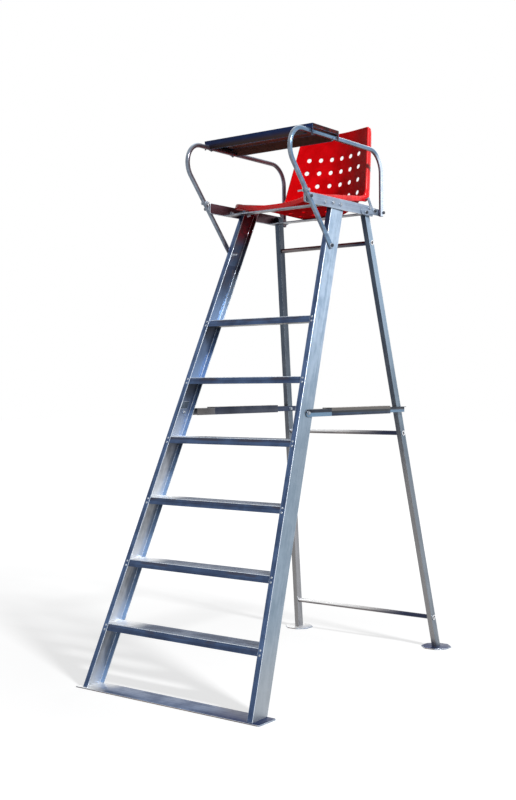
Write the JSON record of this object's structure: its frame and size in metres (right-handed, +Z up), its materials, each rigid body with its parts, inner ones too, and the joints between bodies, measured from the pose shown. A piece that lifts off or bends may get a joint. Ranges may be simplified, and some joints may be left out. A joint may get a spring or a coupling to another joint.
{
  "type": "umpire chair",
  "caption": "Tall step-ladder umpire chair: leaning channel stringers with box steps, splayed rear legs, tube armrests carrying a writing tray, and a perforated moulded seat.",
  "frame": {"origin": "on the floor, in the middle of the chair's footprint between the base plate's front edge and the rear foot plates' rear edge", "axes": "+Z up, -Y the side with the steps, +X to the right of somebody who looks at the steps"},
  "size_m": [0.928, 1.529, 2.3914],
  "materials": {
    "stringer_aluminium": "mill extruded, slightly weathered",
    "step_aluminium": "mill extruded, ribbed on top",
    "tube_aluminium": "mill tube, satin",
    "seat_frame_aluminium": "mill, satin",
    "armrest_aluminium": "mill tube, satin",
    "tray_paint": "dark gloss paint on sheet metal",
    "seat_plastic": "moulded, semi-gloss"
  },
  "bodies": {
    "root": {"front_base_plate": "stringer_aluminium", "front_stringer_left": "stringer_aluminium", "front_stringer_right": "stringer_aluminium", "tread_1": "step_aluminium", "tread_2": "step_aluminium", "tread_3": "step_aluminium", "tread_4": "step_aluminium", "tread_5": "step_aluminium", "tread_6": "step_aluminium", "seat_rail_left": "seat_frame_aluminium", "seat_rail_right": "seat_frame_aluminium", "seat_crossbar_front": "seat_frame_aluminium", "seat_crossbar_rear": "seat_frame_aluminium", "rear_leg_left": "tube_aluminium", "rear_leg_right": "tube_aluminium", "rear_tie_top": "tube_aluminium", "rear_tie_middle": "tube_aluminium", "rear_tie_bottom": "tube_aluminium", "rear_foot_left": "tube_aluminium", "rear_foot_right": "tube_aluminium", "stay_bracket_left": "seat_frame_aluminium", "stay_bracket_right": "seat_frame_aluminium", "side_stay_left": "seat_frame_aluminium", "side_stay_right": "seat_frame_aluminium", "stay_sleeve_left": "seat_frame_aluminium", "stay_sleeve_right": "seat_frame_aluminium", "rail_end_plate_left": "seat_frame_aluminium", "rail_end_plate_right": "seat_frame_aluminium", "seat_strut_left": "seat_frame_aluminium", "seat_strut_right": "seat_frame_aluminium", "armrest_left": "armrest_aluminium", "armrest_right": "armrest_aluminium", "writing_tray": "tray_paint", "seat_shell": "seat_plastic"}
  },
  "joints": []
}
